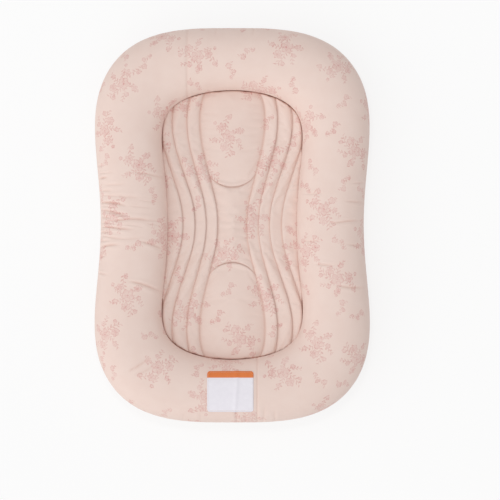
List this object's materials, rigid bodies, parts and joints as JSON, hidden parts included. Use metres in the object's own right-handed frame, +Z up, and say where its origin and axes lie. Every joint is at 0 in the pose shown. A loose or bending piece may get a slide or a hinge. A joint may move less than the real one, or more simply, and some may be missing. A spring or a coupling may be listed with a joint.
{
  "type": "infant lounger",
  "caption": "Low stuffed ring with a drawn-in waist round a quilted, channelled centre, in a removable cotton cover with a zip in its base.",
  "frame": {"origin": "on the floor under the middle of the lounger", "axes": "+Y to the head end, +Z up from the floor, X across the lounger"},
  "size_m": [0.5138, 0.737, 0.1149],
  "materials": {
    "printed_cotton": "faded dusty pink sprays on pale blush cotton",
    "plain_cotton": "plain pale blush cotton",
    "satin_patch": "blank white satin with a plain orange band",
    "casing_muslin": "unbleached muslin",
    "polyester_fibre": "loose white polyester fibre",
    "zip_tape": "woven tape",
    "nylon_coil": "dyed nylon",
    "die_cast_zinc": "zinc, lacquered to match the tape"
  },
  "bodies": {
    "lounger": {"cover_rim_top": "printed_cotton", "cover_rim_underside": "plain_cotton", "quilted_centre_face": "printed_cotton", "quilt_backing": "plain_cotton", "base_panel_left": "plain_cotton", "base_panel_right": "plain_cotton", "blank_patch": "satin_patch", "casing_top": "casing_muslin", "casing_underside": "casing_muslin", "bolster_fill": "polyester_fibre", "sling_cloth_upper": "casing_muslin", "centre_fill": "polyester_fibre", "sling_cloth_lower": "casing_muslin", "zip_tape_left": "zip_tape", "zip_tape_right": "zip_tape", "zip_coil_left": "nylon_coil", "zip_coil_right": "nylon_coil", "zip_top_stop_left": "die_cast_zinc", "zip_top_stop_right": "die_cast_zinc", "zip_bottom_stop": "die_cast_zinc"},
    "zip_slider": {"zip_slider": "die_cast_zinc"},
    "zip_pull": {"zip_pull": "die_cast_zinc"}
  },
  "joints": [
    {"name": "zip_slide", "type": "slide", "parent": "lounger", "child": "zip_slider", "axis": [0, 1, 0], "range_m": [0, 0.415]},
    {"name": "pull_hinge", "type": "hinge", "parent": "zip_slider", "child": "zip_pull", "pos_m": [0, -0.209, 0.02945], "axis": [1, 0, 0], "range_deg": [-85, 85]}
  ]
}
